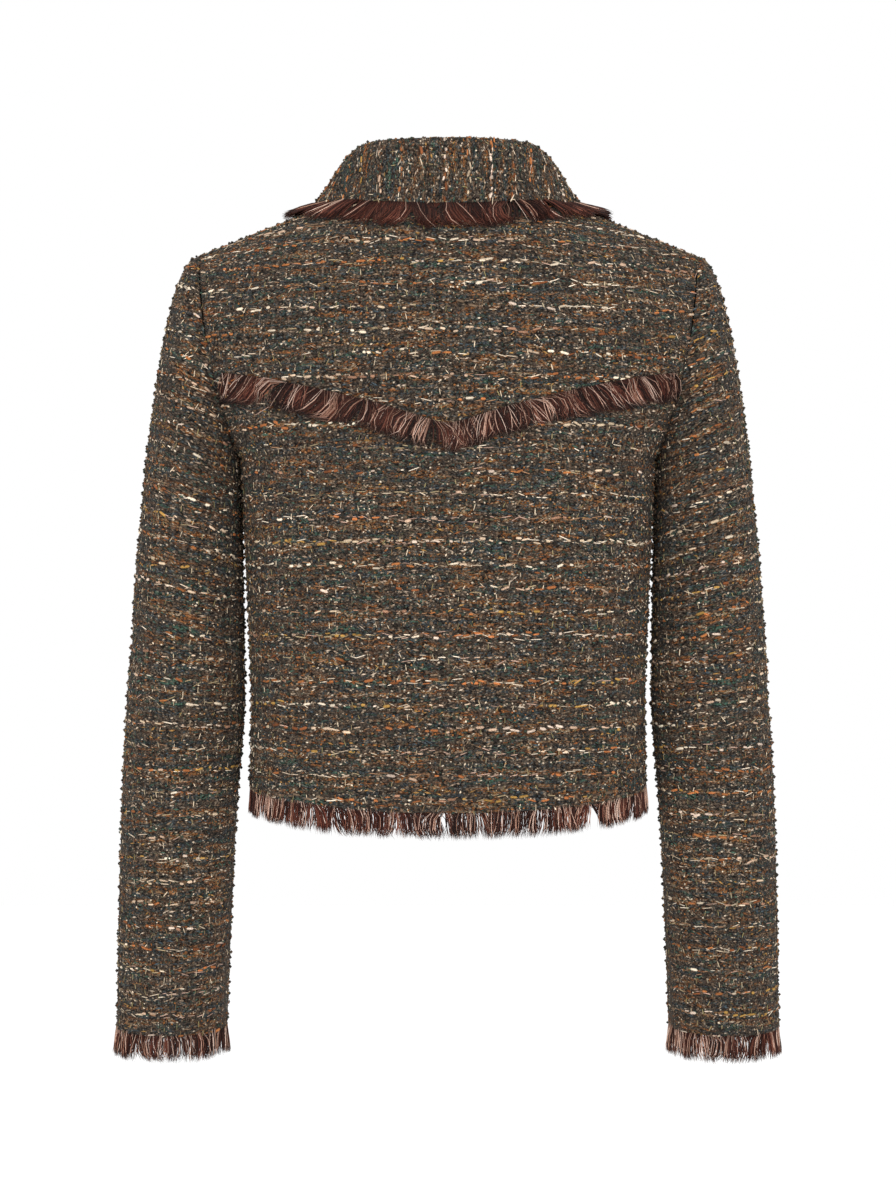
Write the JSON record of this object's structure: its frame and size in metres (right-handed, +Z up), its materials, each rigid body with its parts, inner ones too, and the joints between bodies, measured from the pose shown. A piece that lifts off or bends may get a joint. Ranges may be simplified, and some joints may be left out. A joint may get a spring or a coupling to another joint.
{
  "type": "cropped tweed jacket",
  "caption": "Cropped boucle tweed jacket, filled out as worn, with a shirt collar, set-in sleeves and fringe trim at collar, yoke, hem and cuffs.",
  "frame": {"origin": "between the shoulders, on the centre plane, at the height of the side of the neck, where the wearer's shoulders hold the jacket", "axes": "+Z up, the wearer faces -Y so the back is at +Y, and the wearer's left is at +X"},
  "size_m": [0.531, 0.2295, 0.7119],
  "materials": {
    "tweed": "rough boucle tweed",
    "fringe": "cut yarn fringe"
  },
  "bodies": {
    "root": {"back": "tweed", "front_left": "tweed", "front_right": "tweed", "sleeve_left": "tweed", "sleeve_right": "tweed", "collar": "tweed", "collar_fringe": "fringe", "yoke_fringe": "fringe", "hem_fringe": "fringe", "cuff_fringe_left": "fringe", "cuff_fringe_right": "fringe"}
  },
  "joints": []
}
